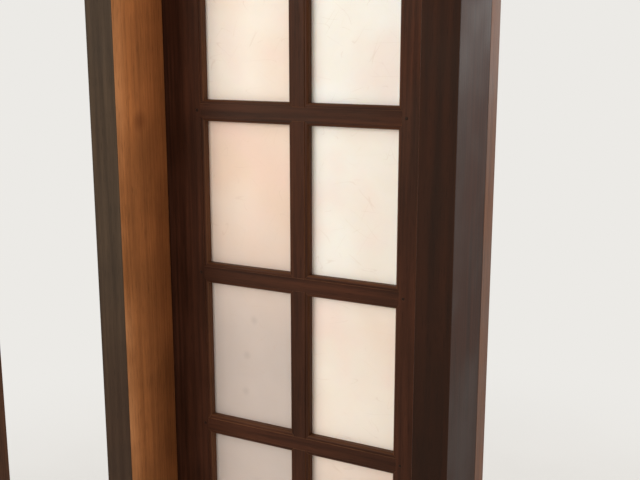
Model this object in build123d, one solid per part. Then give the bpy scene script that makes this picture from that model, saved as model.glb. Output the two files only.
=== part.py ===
from build123d import *
import os

os.makedirs("parts", exist_ok=True)

# A sliding screen with two columns of translucent panes in a moulded wooden lattice, and its frame.
# A deep wooden lining stands in front of the leaf and frames the doorway. Behind it, a head track, a
# sill track and two posts carry the leaf, which slides to the left, past the lining's left jamb.
# X runs to the right, Y away from the doorway's front, Z up, in millimetres. The origin is on the
# floor, in the middle of the doorway, in the plane of the leaf's front face.

# Doorway lining
doorway_width = 600
doorway_height = 2070
jamb_face = 63
jamb_depth = 151
head_face = 63
sill_height = 30
lining_arris = 2
head_tenon_length = 20
head_tenon_height = 33
head_tenon_depth = 91
sill_housing = 10

# Sliding leaf
leaf_thickness = 36
left_overlap = 25.5
right_overlap = 14.5
head_overlap = 38
floor_gap = 8
running_gap = 3
stile_width = 115
top_rail_height = 81
bottom_rail_height = 105
leaf_arris = 1.5
slide_travel = 530

# Lattice: bars between the panes, with a moulded front edge and a rebate behind
rows = 6
muntin_width = 42
muntin_thickness = 30
muntin_offset = 5
lap_depth = 18
moulding_width = 8
quirk_depth = 1.5
ovolo_radius = 4.5
rebate_width = 9
pane_seat = 15
pane_thickness = 3
pane_clearance = 1.5
bead_width = 8
bead_depth = 10
bead_rounding = 4

# Joints of the leaf
tenon_end_gap = 1
bar_tenon_front = 9
bar_tenon_thickness = 12
bar_tenon_length = 35
upright_tenon_length = 30
rail_tenon_front = 12
rail_tenon_thickness = 12
rail_tenon_length = 80
rail_tenon_shoulder = 15
peg_radius = 3
peg_sides = 8
peg_inset = 16
rail_peg_inset = 40

# Tongue along the leaf's top, in the head track's groove
tongue_front = 9
tongue_thickness = 18
tongue_engagement = 12
tongue_side_clearance = 1.5
lift_out = 8

# Track frame behind the lining
track_lip = 9
head_track_height = 45
strike_overlap = 3
strike_clearance = 1
strike_side_clearance = 1.5
end_clearance = 2.5
end_post_width = 40
post_tenon_length = 12
post_tenon_width = 24
post_tenon_depth = 20

# Rail and rollers
rail_base_width = 9
rail_base_thickness = 2
rail_bead_width = 5
rail_bead_height = 5
wheel_radius = 15
wheel_width = 9
groove_depth = 3
groove_floor = 3
rim_slope = 0.7
wheel_lift = 0.3
axle_radius = 3
axle_clearance = 0.05
wheel_side_gap = 1
wheel_crown_gap = 1.5
housing_wall = 1.5
housing_length = 44
flange_length = 80
flange_width = 18
pocket_clearance = 0.5
roller_inset = 65
roller_screw_radius = 1.6
roller_screw_head = 3.4
roller_screw_length = 16
roller_screw_inset = 8

# Finger pulls
pull_width = 34
pull_height = 92
pull_corner = 6
pull_flange = 2
pull_lip = 1
pull_wall = 1
pull_depth = 8.5
pull_bottom_slope = 2
pull_level = 950
pull_edge_distance = 43.5

# Screws and fixing holes of the frame
screw_radius = 2.5
screw_head = 5
screw_bite = 30
screw_end_distance = 50
track_screws = 3
post_screws = 3
post_screw_end_distance = 260
fixing_radius = 2.75
fixing_head = 5.5
fixing_holes = 2
fixing_pitch = 340
fixing_start = 67
fixing_above_groove = 12
floor_fixing_behind_rail = 16

# Places that follow from the sizes
past = 1.0
moulding_depth = quirk_depth + ovolo_radius
door_left = -doorway_width / 2
door_right = doorway_width / 2
door_top = sill_height + doorway_height
lining_back = -running_gap
lining_front = lining_back - jamb_depth
lining_top = door_top + head_face

leaf_left = door_left - left_overlap
leaf_right = door_right + right_overlap
leaf_bottom = sill_height + floor_gap
leaf_top = door_top + head_overlap
shoulder = leaf_top - tongue_engagement - lift_out
leaf_middle = leaf_thickness / 2

light_left = leaf_left + stile_width
light_right = leaf_right - stile_width
light_bottom = leaf_bottom + bottom_rail_height
light_top = leaf_top - top_rail_height
half_bar = muntin_width / 2
upright_x = (light_left + light_right) / 2 + muntin_offset
pane_height = (light_top - light_bottom - (rows - 1) * muntin_width) / rows
row_pitch = pane_height + muntin_width
row_lows = [light_bottom + i * row_pitch for i in range(rows)]
row_spans = [(low, low + pane_height) for low in row_lows]
crossbar_levels = [span[1] + half_bar for span in row_spans[:-1]]
columns = [(light_left, upright_x - half_bar), (upright_x + half_bar, light_right)]
column_widths = [right - left for left, right in columns]
window_places = [
    [Pos((left + right) / 2, 0, (low + high) / 2) for low, high in row_spans] for left, right in columns
]

track_front = lining_back
track_back = leaf_thickness + track_lip
track_underside = shoulder + lift_out
track_top = track_underside + head_track_height
groove_top = leaf_top + lift_out
groove_front = tongue_front - tongue_side_clearance
groove_back = tongue_front + tongue_thickness + tongue_side_clearance
strike_face = leaf_right - strike_overlap
strike_bottom = leaf_right + strike_clearance
strike_outer = door_right + jamb_face
end_face = leaf_left - slide_travel - end_clearance
end_outer = end_face - end_post_width
strike_tenon_x = (strike_bottom + strike_outer) / 2
end_tenon_x = (end_face + end_outer) / 2

rail_crest = sill_height + rail_bead_height
rolling_radius = wheel_radius - groove_depth
axle_level = rail_crest + wheel_lift + rolling_radius
housing_width = wheel_width + 2 * wheel_side_gap + 2 * housing_wall
housing_top = axle_level + wheel_radius + wheel_crown_gap + housing_wall
roller_places = [light_left + roller_inset, light_right - roller_inset]

pull_x = leaf_right - pull_edge_distance
pull_z = leaf_bottom + pull_level


def field(left, right, low, high):
    """A rectangle in the plane of the leaf's face, between two sides and two levels."""
    return Pos((left + right) / 2, (low + high) / 2) * Rectangle(right - left, high - low)


def slab(outline, front, back):
    """Carries an outline in the plane of the leaf's face from one depth to another."""
    return extrude(Plane.XZ.offset(-front) * outline, amount=back - front, dir=(0, 1, 0))


def bar_along(outline, left, right):
    """Carries a cross-section, drawn in depth and height, from the left to the right."""
    return extrude(Plane.YZ.offset(left) * outline, amount=right - left, dir=(1, 0, 0))


def post_along(outline, low, high):
    """Carries a plan outline from one level up to another."""
    return extrude(Plane.XY.offset(low) * outline, amount=high - low, dir=(0, 0, 1))


def closed(*points):
    """A face bounded by straight lines through the points, where they are given."""
    return Polygon(*points, align=None)


def long_edges(solid, axis, least):
    """The edges of a solid that run along an axis and are longer than a length."""
    return [edge for edge in solid.edges().filter_by(axis) if edge.length > least]


def wood_screw(radius, head, length):
    """A countersunk screw that points along +Z, with its head flush at the origin."""
    outline = closed((0, 0), (head, 0), (radius, head - radius), (radius, length), (0, length))
    return revolve(Plane.XZ * outline, Axis.Z)


def moulding_profile():
    """What the moulding takes from a bar's front edge: a quirk, a fillet and a convex quarter round.

    It is drawn in depth and height, with the edge of the daylight at zero height."""
    quirk = (quirk_depth, -moulding_width)
    start = (quirk_depth, -ovolo_radius)
    end = (moulding_depth, 0)
    fillet_line = Line(quirk, start)
    ovolo = RadiusArc(start, end, ovolo_radius)
    around = Polyline(end, (moulding_depth, past), (-past, past), (-past, -moulding_width), quirk)
    return make_face(fillet_line + ovolo + around)


def window_cutter(width, height):
    """What a pane takes from the bars around it: the daylight, its mitred moulding and the rebate."""
    level = -height / 2
    side = width / 2
    path = Polyline(
        (0, 0, level), (side, 0, level), (side, 0, -level),
        (-side, 0, -level), (-side, 0, level), (0, 0, level),
    )
    section = Plane((0, 0, level), x_dir=(0, 1, 0), z_dir=(1, 0, 0)) * moulding_profile()
    moulding = sweep(section, path=Wire(path.edges()), transition=Transition.RIGHT)
    daylight = slab(Rectangle(width, height), -past, pane_seat + past)
    rebate = slab(
        Rectangle(width + 2 * rebate_width, height + 2 * rebate_width), pane_seat, leaf_thickness + past
    )
    return daylight + moulding + rebate


cutters = [window_cutter(width, pane_height) for width in column_widths]


def windows(column, from_row=0, to_row=rows):
    """The cutters of one column of panes, in their places."""
    return [place * cutters[column] for place in window_places[column][from_row:to_row]]


def bar_outline(left, right, low, high):
    """The front of a cross bar, whose moulded corners are mitred into the pieces at its ends."""
    m = moulding_width
    return closed(
        (left - m, low + m), (left, low), (right, low), (right + m, low + m),
        (right + m, high - m), (right, high), (left, high), (left - m, high - m),
    )


def upright_outline(left, right, low, high):
    """The front of one stretch of the upright bar, mitred into the bars above and below it."""
    m = moulding_width
    return closed(
        (left, low), (left + m, low - m), (right - m, low - m), (right, low),
        (right, high), (right - m, high + m), (left + m, high + m), (left, high),
    )


def crossbar_room(level, end_gap=0):
    """The whole of one cross bar before it is moulded: front, middle, rear tongue and tenons."""
    low = level - half_bar
    high = level + half_bar
    core = half_bar - rebate_width
    front = slab(bar_outline(light_left, light_right, low, high), 0, moulding_depth)
    middle = slab(field(light_left, light_right, low, high), moulding_depth, pane_seat)
    rear = slab(
        field(light_left - rebate_width, light_right + rebate_width, level - core, level + core),
        pane_seat,
        muntin_thickness,
    )
    reach = bar_tenon_length + end_gap
    tenon = slab(
        field(light_left - reach, light_right + reach, level - core, level + core),
        bar_tenon_front,
        bar_tenon_front + bar_tenon_thickness,
    )
    return front + middle + rear + tenon


def upright_room(end_gap=0):
    """The whole of the upright bar before it is moulded, halved to let the cross bars pass in front."""
    left = upright_x - half_bar
    right = upright_x + half_bar
    core = half_bar - rebate_width
    room = slab(
        field(upright_x - core, upright_x + core, light_bottom - rebate_width, light_top + rebate_width),
        lap_depth,
        muntin_thickness,
    )
    for low, high in row_spans:
        room += slab(upright_outline(left, right, low, high), 0, moulding_depth)
        room += slab(field(left, right, low, high), moulding_depth, pane_seat)
        room += slab(
            field(upright_x - core, upright_x + core, low - rebate_width, high + rebate_width),
            pane_seat,
            lap_depth,
        )
    reach = upright_tenon_length + end_gap
    for low, high in ((light_bottom - reach, light_bottom), (light_top, light_top + reach)):
        room += slab(
            field(upright_x - core, upright_x + core, low, high),
            bar_tenon_front,
            bar_tenon_front + bar_tenon_thickness,
        )
    return room


def rail_room(low, high, light_edge, end_gap=0):
    """The whole of a rail before it is moulded, with mitred front corners and a tenon at each end."""
    inward = 1 if light_edge == high else -1
    m = moulding_width * inward
    outer = low if light_edge == high else high
    face = closed(
        (light_left - moulding_width, outer), (light_right + moulding_width, outer),
        (light_right + moulding_width, light_edge - m), (light_right, light_edge),
        (light_left, light_edge), (light_left - moulding_width, light_edge - m),
    )
    front = slab(face, 0, moulding_depth)
    middle = slab(field(light_left, light_right, low, high), moulding_depth, pane_seat)
    rear = slab(
        field(light_left - rebate_width, light_right + rebate_width, low, high), pane_seat, leaf_thickness
    )
    reach = rail_tenon_length + end_gap
    tenon = slab(
        field(
            light_left - reach, light_right + reach, low + rail_tenon_shoulder, high - rail_tenon_shoulder
        ),
        rail_tenon_front,
        rail_tenon_front + rail_tenon_thickness,
    )
    return front + middle + rear + tenon


def top_rail_room(end_gap=0):
    """The top rail's room; its upper part narrows to the tongue."""
    return rail_room(light_top, leaf_top, light_top, end_gap)


def bottom_rail_room(end_gap=0):
    """The bottom rail's room."""
    return rail_room(leaf_bottom, light_bottom, light_bottom, end_gap)


def tongue_shoulders():
    """What is taken from the leaf's top on both faces, to leave the tongue."""
    band = field(leaf_left - past, leaf_right + past, shoulder, leaf_top + past)
    front = slab(band, -past, tongue_front)
    back = slab(band, tongue_front + tongue_thickness, leaf_thickness + past)
    return [front, back]


def peg_places():
    """Where a peg pins each tenon: one for a bar's end and two for a rail's."""
    bottom_middle = (leaf_bottom + light_bottom) / 2
    top_middle = (light_top + leaf_top) / 2
    rail_levels = [bottom_middle, top_middle]
    places = []
    for edge, outward in ((light_left, -1), (light_right, 1)):
        near = edge + outward * peg_inset
        far = near + outward * rail_peg_inset
        places += [(near, level) for level in crossbar_levels + rail_levels]
        places += [(far, level) for level in rail_levels]
    return places


def pegs():
    """The pegs, pared to eight sides, that go right through the stiles and the tenons in them."""
    outline = RegularPolygon(peg_radius, peg_sides, major_radius=False, rotation=180 / peg_sides)
    return [slab(Pos(x, level) * outline, 0, leaf_thickness) for x, level in peg_places()]


def cut_by(piece, cutting):
    """A piece less each of the cutters."""
    for cutter in cutting:
        piece -= cutter
    return piece


def stile(outer, inner, column):
    """One upright side of the leaf, moulded and rebated beside its panes, with its mortises."""
    left, right = sorted((outer, inner))
    blank = slab(field(left, right, leaf_bottom, leaf_top), 0, leaf_thickness)
    uprights = long_edges(blank, Axis.Z, doorway_height / 2)
    blank = fillet([edge for edge in uprights if abs(edge.center().X - outer) < past], leaf_arris)
    rooms = [top_rail_room(tenon_end_gap), bottom_rail_room(tenon_end_gap)]
    rooms += [crossbar_room(level, tenon_end_gap) for level in crossbar_levels]
    return cut_by(blank, tongue_shoulders() + windows(column) + rooms + pegs())


def pull_pocket():
    """The recess that a finger pull's cup fills, seen from the front."""
    cup = RectangleRounded(
        pull_width - 2 * pull_flange, pull_height - 2 * pull_flange, pull_corner - pull_flange
    )
    return slab(Pos(pull_x, pull_z) * cup, 0, pull_depth)


def finger_pull():
    """A pressed metal cup with a flat flange around its mouth, on the leaf's front face."""
    place = Pos(pull_x, pull_z)
    flange = slab(place * RectangleRounded(pull_width, pull_height, pull_corner), -pull_lip, 0)
    hollow_inset = pull_flange + pull_wall
    mouth = RectangleRounded(
        pull_width - 2 * hollow_inset, pull_height - 2 * hollow_inset, pull_corner - hollow_inset
    )
    hollow = slab(place * mouth, -pull_lip, pull_depth - pull_wall)
    hollow = chamfer(hollow.faces().sort_by(Axis.Y)[-1].edges(), pull_bottom_slope)
    return flange + pull_pocket() - hollow


def on_the_back(piece):
    """The same piece on the leaf's back face."""
    return mirror(piece, about=Plane.XZ.offset(-leaf_middle))


def bead_set(column):
    """Four strips, mitred at the corners, that hold a pane in its rebate from behind."""
    width = column_widths[column] + 2 * rebate_width
    height = pane_height + 2 * rebate_width
    front = pane_seat + pane_thickness
    strips = []
    lying = [(turn, width, height / 2) for turn in (0, 180)]
    standing = [(turn, height, width / 2) for turn in (90, 270)]
    for turn, length, reach in lying + standing:
        section = closed(
            (front, -reach),
            (front, bead_width - reach),
            (front + bead_depth - bead_rounding, bead_width - reach),
            (front + bead_depth, bead_width - bead_rounding - reach),
            (front + bead_depth, -reach),
        )
        plan = closed(
            (-length / 2, -reach), (length / 2, -reach),
            (length / 2 - bead_width, bead_width - reach), (bead_width - length / 2, bead_width - reach),
        )
        strip = bar_along(section, -length / 2, length / 2) & slab(plan, front, front + bead_depth)
        strips.append(Rot(Y=turn) * strip)
    return strips


def pane(column):
    """One translucent sheet, a little smaller than its rebate."""
    grow = 2 * (rebate_width - pane_clearance)
    return slab(
        Rectangle(column_widths[column] + grow, pane_height + grow), pane_seat, pane_seat + pane_thickness
    )


def roller_screws():
    """The four countersunk screws that hold the roller housings up in the bottom rail."""
    screw = wood_screw(roller_screw_radius, roller_screw_head, roller_screw_length)
    reach = flange_length / 2 - roller_screw_inset
    return [
        Pos(x + side * reach, leaf_middle, leaf_bottom) * screw for x in roller_places for side in (-1, 1)
    ]


def roller_flange(x):
    """The flat flange of a roller housing, let into the leaf's underside."""
    outline = Pos(x, leaf_middle) * SlotOverall(flange_length, flange_width)
    return post_along(outline, leaf_bottom, leaf_bottom + housing_wall)


def roller_housing(x):
    """A pressed channel, open below, on its flange."""
    place = Pos(x, leaf_middle)
    flange = roller_flange(x)
    shell = post_along(place * Rectangle(housing_length, housing_width), leaf_bottom, housing_top)
    inside = Rectangle(housing_length - 2 * housing_wall, housing_width - 2 * housing_wall)
    hollow = post_along(place * inside, leaf_bottom - past, housing_top - housing_wall)
    axle_hole = slab(Pos(x, axle_level) * Circle(axle_radius), 0, leaf_thickness)
    return cut_by(flange + shell, [hollow, axle_hole] + roller_screws())


def roller_pocket(x):
    """The recess in the bottom rail that takes a roller's flange and housing."""
    outline = Pos(x, leaf_middle) * Rectangle(housing_length, housing_width + 2 * pocket_clearance)
    return roller_flange(x) + post_along(outline, leaf_bottom, housing_top)


def roller_axle(x):
    """A plain pin across the housing."""
    reach = housing_width / 2
    return slab(Pos(x, axle_level) * Circle(axle_radius), leaf_middle - reach, leaf_middle + reach)


def roller_wheel(x):
    """A wheel turned with a sloping-sided groove, to run on the rail's rounded crest."""
    half = wheel_width / 2
    bore = axle_radius + axle_clearance
    floor = groove_floor / 2
    mouth = floor + groove_depth * rim_slope
    outline = closed(
        (-half, bore), (half, bore), (half, wheel_radius), (mouth, wheel_radius),
        (floor, rolling_radius), (-floor, rolling_radius), (-mouth, wheel_radius), (-half, wheel_radius),
    )
    return Pos(x, leaf_middle, axle_level) * revolve(Plane.YZ * outline, Axis.Y)


def bottom_rail():
    """The leaf's bottom rail, with its moulded edge, tenons and roller pockets."""
    cutting = windows(0, 0, 1) + windows(1, 0, 1) + [upright_room(tenon_end_gap)]
    cutting += pegs() + [roller_pocket(x) for x in roller_places] + roller_screws()
    return cut_by(bottom_rail_room(), cutting)


def top_rail():
    """The leaf's top rail, with its moulded edge, tenons and tongue."""
    cutting = windows(0, rows - 1) + windows(1, rows - 1) + [upright_room(tenon_end_gap)]
    return cut_by(top_rail_room(), cutting + pegs() + tongue_shoulders())


def upright_bar():
    """The upright bar, from rail to rail, moulded on both sides."""
    return cut_by(upright_room(), windows(0) + windows(1))


def cross_bar(row):
    """The cross bar above a row, halved over the upright bar and tenoned into both stiles."""
    near = windows(0, row, row + 2) + windows(1, row, row + 2)
    return cut_by(crossbar_room(crossbar_levels[row]), near + [upright_room()] + pegs())


def jamb(inner, outward):
    """One upright of the doorway lining, mortised for the head and housed for the sill."""
    outer = inner + outward * jamb_face
    left, right = sorted((inner, outer))
    post = slab(field(left, right, 0, lining_top), lining_front, lining_back)
    post = fillet(long_edges(post, Axis.Z, doorway_height / 2), lining_arris)
    return cut_by(post, [lining_head_room(tenon_end_gap), lining_sill_room()] + frame_screws())


def lining_head_room(end_gap=0):
    """The lining's head, between the jambs, with its tenons."""
    body = slab(field(door_left, door_right, door_top, lining_top), lining_front, lining_back)
    middle = (door_top + lining_top) / 2
    low = middle - head_tenon_height / 2
    high = middle + head_tenon_height / 2
    front = (lining_front + lining_back - head_tenon_depth) / 2
    reach = head_tenon_length + end_gap
    tenon = slab(field(door_left - reach, door_right + reach, low, high), front, front + head_tenon_depth)
    return body + tenon


def lining_sill_room():
    """The lining's sill board, let into the foot of each jamb."""
    outline = field(door_left - sill_housing, door_right + sill_housing, 0, sill_height)
    return slab(outline, lining_front, lining_back)


def spread(low, high, count):
    """Evenly spaced places from one end to the other."""
    return [low + i * (high - low) / (count - 1) for i in range(count)]


def from_the_back(x, level):
    """The place of a screw that is driven forwards, through the track frame, into the lining."""
    return Pos(x, track_back, level) * Rot(X=90)


def frame_screws():
    """The screws that hold the track frame to the lining, at the head, the sill and the strike post."""
    screw = wood_screw(screw_radius, screw_head, track_back - track_front + screw_bite)
    xs = spread(door_left + screw_end_distance, door_right - screw_end_distance, track_screws)
    levels = spread(sill_height + post_screw_end_distance, door_top - post_screw_end_distance, post_screws)
    places = [from_the_back(x, (groove_top + lining_top) / 2) for x in xs]
    places += [from_the_back(x, (sill_height - rail_base_thickness) / 2) for x in xs]
    places += [from_the_back(strike_tenon_x, level) for level in levels]
    return [place * screw for place in places]


def fixing_xs():
    """Where the fixing holes stand along the tracks, left of the lining."""
    return [door_left - jamb_face - fixing_start - i * fixing_pitch for i in range(fixing_holes)]


def fixing_hole(depth):
    """A countersunk clearance hole along +Z, from the origin."""
    return wood_screw(fixing_radius, fixing_head, depth + past)


def post_tenon(x, low, high):
    """A stub tenon on the end of a track post."""
    middle = (track_front + track_back) / 2
    return post_along(Pos(x, middle) * Rectangle(post_tenon_width, post_tenon_depth), low, high)


def post_tenons(x, end_gap=0):
    """The stub tenons at both ends of a track post."""
    reach = post_tenon_length + end_gap
    return [
        post_tenon(x, sill_height - reach, sill_height),
        post_tenon(x, track_underside, track_underside + reach),
    ]


def strike_post():
    """The post that the closed leaf runs against, rebated so that its lip covers the leaf's edge."""
    lip = leaf_thickness + strike_side_clearance
    plan = closed(
        (strike_bottom, track_front), (strike_outer, track_front), (strike_outer, track_back),
        (strike_face, track_back), (strike_face, lip), (strike_bottom, lip),
    )
    post = post_along(plan, sill_height, track_underside)
    for tenon in post_tenons(strike_tenon_x):
        post += tenon
    return cut_by(post, frame_screws())


def end_post():
    """The post at the far end of the tracks."""
    post = slab(field(end_outer, end_face, sill_height, track_underside), track_front, track_back)
    post = fillet(long_edges(post, Axis.Z, doorway_height / 2), lining_arris)
    for tenon in post_tenons(end_tenon_x):
        post += tenon
    return post


def head_track():
    """The board over the leaf, with the groove that guides the leaf's tongue."""
    board = slab(field(end_outer, strike_outer, track_underside, track_top), track_front, track_back)
    groove = bar_along(
        closed(
            (groove_front, track_underside - past), (groove_back, track_underside - past),
            (groove_back, groove_top), (groove_front, groove_top),
        ),
        end_face,
        strike_bottom,
    )
    drill = fixing_hole(track_back - track_front)
    holes = [from_the_back(x, groove_top + fixing_above_groove) * drill for x in fixing_xs()]
    sockets = post_tenons(strike_tenon_x, tenon_end_gap)[1:] + post_tenons(end_tenon_x, tenon_end_gap)[1:]
    return cut_by(board, [groove] + holes + sockets + frame_screws())


def rail_base():
    """The flat foot of the rail, in depth and height."""
    foot = Rectangle(rail_base_width, rail_base_thickness)
    return Pos(leaf_middle, sill_height - rail_base_thickness / 2) * foot


def sill_rail():
    """The metal rail that the rollers run on: a flat foot in the board and a round-topped bead."""
    radius = rail_bead_width / 2
    bead = Pos(leaf_middle, sill_height) * (
        Pos(0, (rail_bead_height - radius) / 2) * Rectangle(rail_bead_width, rail_bead_height - radius)
        + Pos(0, rail_bead_height - radius) * Circle(radius)
    )
    return bar_along(rail_base() + bead, end_face, strike_bottom)


def sill_track():
    """The board under the leaf, grooved for the rail's foot."""
    board = slab(field(end_outer, strike_outer, 0, sill_height), track_front, track_back)
    groove = bar_along(rail_base(), end_face, strike_bottom)
    holes = [
        Pos(x, leaf_middle + floor_fixing_behind_rail, sill_height) * Rot(X=180) * fixing_hole(sill_height)
        for x in fixing_xs()
    ]
    sockets = post_tenons(strike_tenon_x, tenon_end_gap)[:1] + post_tenons(end_tenon_x, tenon_end_gap)[:1]
    return cut_by(board, [groove] + holes + sockets + frame_screws())


def save(name, *solids):
    """Writes one piece, or one group of like pieces, as its own file."""
    shape = solids[0] if len(solids) == 1 else Compound(children=list(solids))
    export_step(shape, f"parts/{name}.step")


save("jamb_left", jamb(door_left, -1))
save("jamb_right", jamb(door_right, 1))
save("lining_head", cut_by(lining_head_room(), frame_screws()))
save("lining_sill", cut_by(lining_sill_room(), frame_screws()))
save("head_track", head_track())
save("sill_track", sill_track())
save("strike_post", strike_post())
save("end_post", end_post())
save("sill_rail", sill_rail())
save("frame_screws", *frame_screws())

save("stile_left", stile(leaf_left, light_left, 0))
pull_pockets = [pull_pocket(), on_the_back(pull_pocket())]
save("stile_right", cut_by(stile(leaf_right, light_right, 1), pull_pockets))
save("top_rail", top_rail())
save("bottom_rail", bottom_rail())
save("upright_bar", upright_bar())
for row in range(rows - 1):
    save(f"cross_bar_{row + 1}", cross_bar(row))
save("tenon_pegs", *pegs())
save("finger_pull_front", finger_pull())
save("finger_pull_back", on_the_back(finger_pull()))

for column, side in enumerate(("left", "right")):
    sheet = pane(column)
    strips = bead_set(column)
    for row in range(rows):
        place = window_places[column][row]
        save(f"pane_{side}_{row + 1}", place * sheet)
        save(f"beads_{side}_{row + 1}", *[place * strip for strip in strips])

for x, side in zip(roller_places, ("left", "right")):
    save(f"roller_housing_{side}", roller_housing(x))
    save(f"roller_axle_{side}", roller_axle(x))
    save(f"roller_wheel_{side}", roller_wheel(x))
save("roller_screws", *roller_screws())
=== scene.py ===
"""The looks of a sliding screen: a stained lattice leaf with paper panes, behind a deep oiled lining.

Sizes are in metres, or in millimetres where a name ends in _mm. Colours are written as sRGB hex values.
Every piece stands where the frame says.
"""
import logging
import math
from dataclasses import dataclass, field, replace
from enum import Enum
from typing import NamedTuple

import bmesh
import bpy
import numpy as np
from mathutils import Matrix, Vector


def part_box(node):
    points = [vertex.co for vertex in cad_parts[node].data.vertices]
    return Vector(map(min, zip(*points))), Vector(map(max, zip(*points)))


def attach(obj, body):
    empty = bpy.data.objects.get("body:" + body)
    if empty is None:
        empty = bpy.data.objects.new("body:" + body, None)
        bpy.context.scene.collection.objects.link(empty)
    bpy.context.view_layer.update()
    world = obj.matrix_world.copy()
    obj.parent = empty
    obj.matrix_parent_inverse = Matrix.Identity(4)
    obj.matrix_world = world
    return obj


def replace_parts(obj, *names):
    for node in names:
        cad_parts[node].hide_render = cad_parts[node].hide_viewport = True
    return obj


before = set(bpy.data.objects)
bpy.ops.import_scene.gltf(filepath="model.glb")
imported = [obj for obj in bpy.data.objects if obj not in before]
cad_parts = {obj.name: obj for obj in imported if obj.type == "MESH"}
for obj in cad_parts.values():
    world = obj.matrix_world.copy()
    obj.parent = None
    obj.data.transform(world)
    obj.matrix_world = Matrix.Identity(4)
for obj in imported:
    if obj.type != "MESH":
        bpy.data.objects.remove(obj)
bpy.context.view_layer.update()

MM = 0.001
# The columns of panes, and how many rows of them there are.
COLUMNS, ROWS = ("left", "right"), 6
# Points of a mesh that are nearer than this are one point.
SAME_POINT = 0.001 * MM
# Faces of a node that meet at less than this, in degrees, are one flat face.
FLAT = 0.5
# Where the deep faces of the doorway's lining begin and end, along Y.
LINING_FRONT, LINING_BACK = (corner.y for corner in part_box("jamb_left"))
log = logging.getLogger("sliding_screen")

Point = tuple[float, float, float]
Colour = tuple[float, float, float, float]
Socket = bpy.types.NodeSocket
Tree = bpy.types.NodeTree
Material = bpy.types.Material
Piece = bpy.types.Object


class Grain(Enum):
    """Which way a board's fibres run, as the axes that lie across the board, through it and along it."""

    LYING = ("Z", "Y", "X")
    STANDING = ("X", "Y", "Z")
    CHARTED = ("Y", "Z", "X")


class Side(Enum):
    """The four sides of a pane, as the direction along each and the direction inwards from it."""

    BOTTOM = ((1, 0, 0), (0, 0, 1))
    TOP = ((1, 0, 0), (0, 0, -1))
    LEFT = ((0, 0, 1), (1, 0, 0))
    RIGHT = ((0, 0, 1), (-1, 0, 0))


# Meshes


@dataclass
class Patch:
    """A computed surface.

    Attributes:
        points: One row of X, Y, Z for each vertex.
        faces: Four vertex numbers for each face.
        chart: For each vertex, its place on the surface in metres, along and across.
    """

    points: np.ndarray
    faces: np.ndarray
    chart: np.ndarray


def grid_patch(points: np.ndarray, chart: np.ndarray, wraps: bool = False) -> Patch:
    """Makes a patch of a grid of points.

    Face (i, j) joins the points (i, j), (i + 1, j), (i + 1, j + 1) and (i, j + 1). Where the grid wraps,
    the last column is joined to the first.

    Args:
        points: The grid, as rows by columns by 3.
        chart: Each point's place on the surface, as rows by columns by 2.
        wraps: True if the columns close into a ring.

    Returns:
        The patch, with its vertices in the order of the grid.
    """
    rows, columns = points.shape[:2]
    i, j = np.meshgrid(np.arange(rows - 1), np.arange(columns if wraps else columns - 1), indexing="ij")
    beside = (j + 1) % columns
    corners = [i * columns + j, (i + 1) * columns + j, (i + 1) * columns + beside, i * columns + beside]
    return Patch(points.reshape(-1, 3), np.stack(corners, axis=-1).reshape(-1, 4), chart.reshape(-1, 2))


def joined(patches: list[Patch]) -> Patch:
    """Puts several patches into one, by shifting the vertex numbers of each past those before it.

    Args:
        patches: The patches to join.

    Returns:
        One patch that holds them all.
    """
    starts = np.cumsum([0] + [len(patch.points) for patch in patches[:-1]])
    return Patch(
        np.concatenate([patch.points for patch in patches]),
        np.concatenate([patch.faces + start for patch, start in zip(patches, starts)]),
        np.concatenate([patch.chart for patch in patches]),
    )


def carried(patch: Patch, axes: list[Point] | np.ndarray, place: Point | np.ndarray) -> Patch:
    """Turns a patch and carries it to a place: a point (a, b, c) becomes place + a A + b B + c C.

    Args:
        patch: The patch to carry.
        axes: The directions A, B and C that its own axes get.
        place: Where its origin goes.

    Returns:
        The patch in its new place.
    """
    return Patch(patch.points @ np.asarray(axes, float) + np.asarray(place, float), patch.faces, patch.chart)


def ring_angles(sides: int) -> np.ndarray:
    """The even angles of a ring's points, in radians: point n has n + 1/2 steps."""
    return (np.arange(sides) + 0.5) * 2 * math.pi / sides


def revolved(profile: np.ndarray, sides: int) -> Patch:
    """Turns a profile about the Z axis: a point is (r cos a, r sin a, z) for each of the even angles a.

    Args:
        profile: Radius and height along the profile, as n by 2. It starts on the axis, and that of a
            closed shape ends there too.
        sides: How many points go round.

    Returns:
        The patch.
    """
    angles = ring_angles(sides)
    radius, height = (np.repeat(part, sides, axis=1) for part in np.split(profile, 2, axis=1))
    points = np.stack([radius * np.cos(angles), radius * np.sin(angles), height], axis=-1)
    return grid_patch(points, np.stack([height, radius * angles], axis=-1), wraps=True)


def add_piece(name: str, patch: Patch, finish: Material, sharp_angle: float = 35) -> Piece:
    """Makes an object of a patch, with its doubles merged and its faces turned outwards.

    Args:
        name: The object's name.
        patch: Its surface.
        finish: Its material.
        sharp_angle: In degrees, the angle between faces past which their edge isn't shaded smooth.

    Returns:
        The new object, at the origin.
    """
    mesh = bpy.data.meshes.new(name)
    mesh.from_pydata(patch.points.tolist(), [], patch.faces.tolist())
    chart = mesh.uv_layers.new(name="chart")
    chart.data.foreach_set("uv", patch.chart[patch.faces.ravel()].ravel())
    work = bmesh.new()
    work.from_mesh(mesh)
    bmesh.ops.remove_doubles(work, verts=work.verts, dist=SAME_POINT)
    bmesh.ops.recalc_face_normals(work, faces=work.faces)
    work.to_mesh(mesh)
    work.free()
    mesh.shade_smooth()
    mesh.set_sharp_from_angle(angle=math.radians(sharp_angle))
    mesh.materials.append(finish)
    piece = bpy.data.objects.new(name, mesh)
    bpy.context.scene.collection.objects.link(piece)
    return piece


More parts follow.
